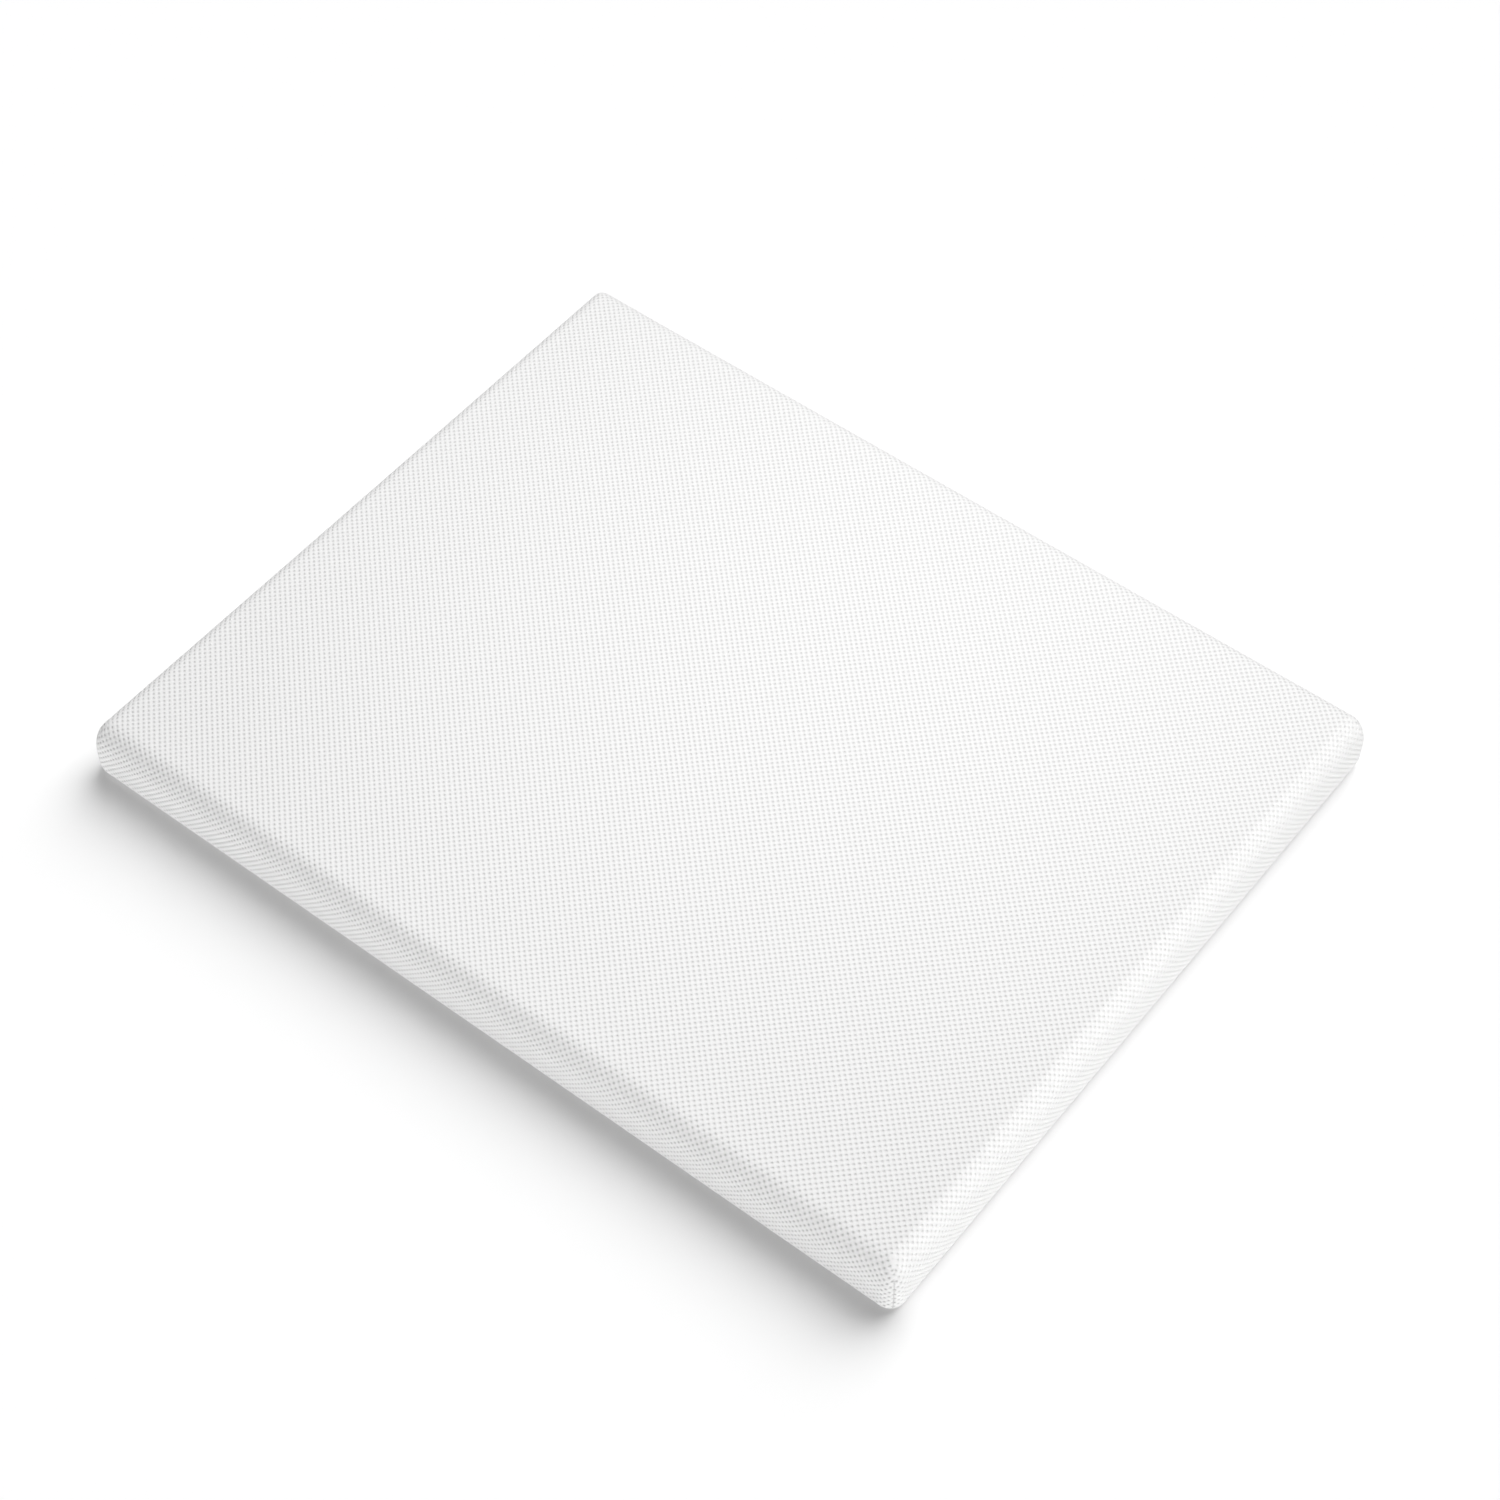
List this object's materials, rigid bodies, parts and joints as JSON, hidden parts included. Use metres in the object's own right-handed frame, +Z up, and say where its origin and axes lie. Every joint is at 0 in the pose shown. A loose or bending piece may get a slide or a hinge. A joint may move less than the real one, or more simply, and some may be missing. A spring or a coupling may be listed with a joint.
{
  "type": "mattress",
  "caption": "Thin rectangular foam mattress with rounded edges, in a removable knitted mesh cover that opens with a concealed zip along one long side.",
  "frame": {"origin": "centre of the bottom face, on the floor or bed base", "axes": "+X along the length, +Y across the width to the zip side, +Z up to the sleeping face"},
  "size_m": [2, 1.6, 0.14],
  "materials": {
    "spacer_mesh": "matt white three-layer spacer knit with staggered rows of small hollows",
    "seam_cloth": "white overlocked seam allowance and thread",
    "welt_cloth": "smooth white polyester tape",
    "base_cloth": "plain white woven polyester",
    "liner_knit": "thin off-white jersey knit",
    "memory_foam": "matt cream open-cell foam",
    "core_foam": "matt white open-cell foam, coarser",
    "zip_tape": "white woven polyester tape",
    "zip_nylon": "white nylon",
    "slider_enamel": "white enamelled zinc",
    "label_satin": "blank white satin label"
  },
  "bodies": {
    "mattress": {"mesh_cover": "spacer_mesh", "corner_seam_front_left": "seam_cloth", "corner_seam_front_right": "seam_cloth", "corner_seam_back_left": "seam_cloth", "corner_seam_back_right": "seam_cloth", "edge_welt": "welt_cloth", "base_panel": "base_cloth", "inner_sock": "liner_knit", "memory_foam_layer": "memory_foam", "support_core": "core_foam", "zip_tape_upper": "zip_tape", "zip_tape_lower": "zip_tape", "zip_coil_upper": "zip_nylon", "zip_coil_lower": "zip_nylon", "zip_stop_upper": "zip_nylon", "zip_stop_lower": "zip_nylon", "zip_end_box": "zip_nylon", "care_label": "label_satin"},
    "slider": {"zip_slider": "slider_enamel"},
    "tab": {"pull_tab": "slider_enamel"}
  },
  "joints": [
    {"name": "zip_slide", "type": "slide", "parent": "mattress", "child": "slider", "axis": [-1, 0, 0], "range_m": [0, 1.747]},
    {"name": "tab_hinge", "type": "hinge", "parent": "slider", "child": "tab", "pos_m": [0.8735, 0.79835, 0.038], "axis": [0, 0, -1], "range_deg": [0, 180]}
  ]
}
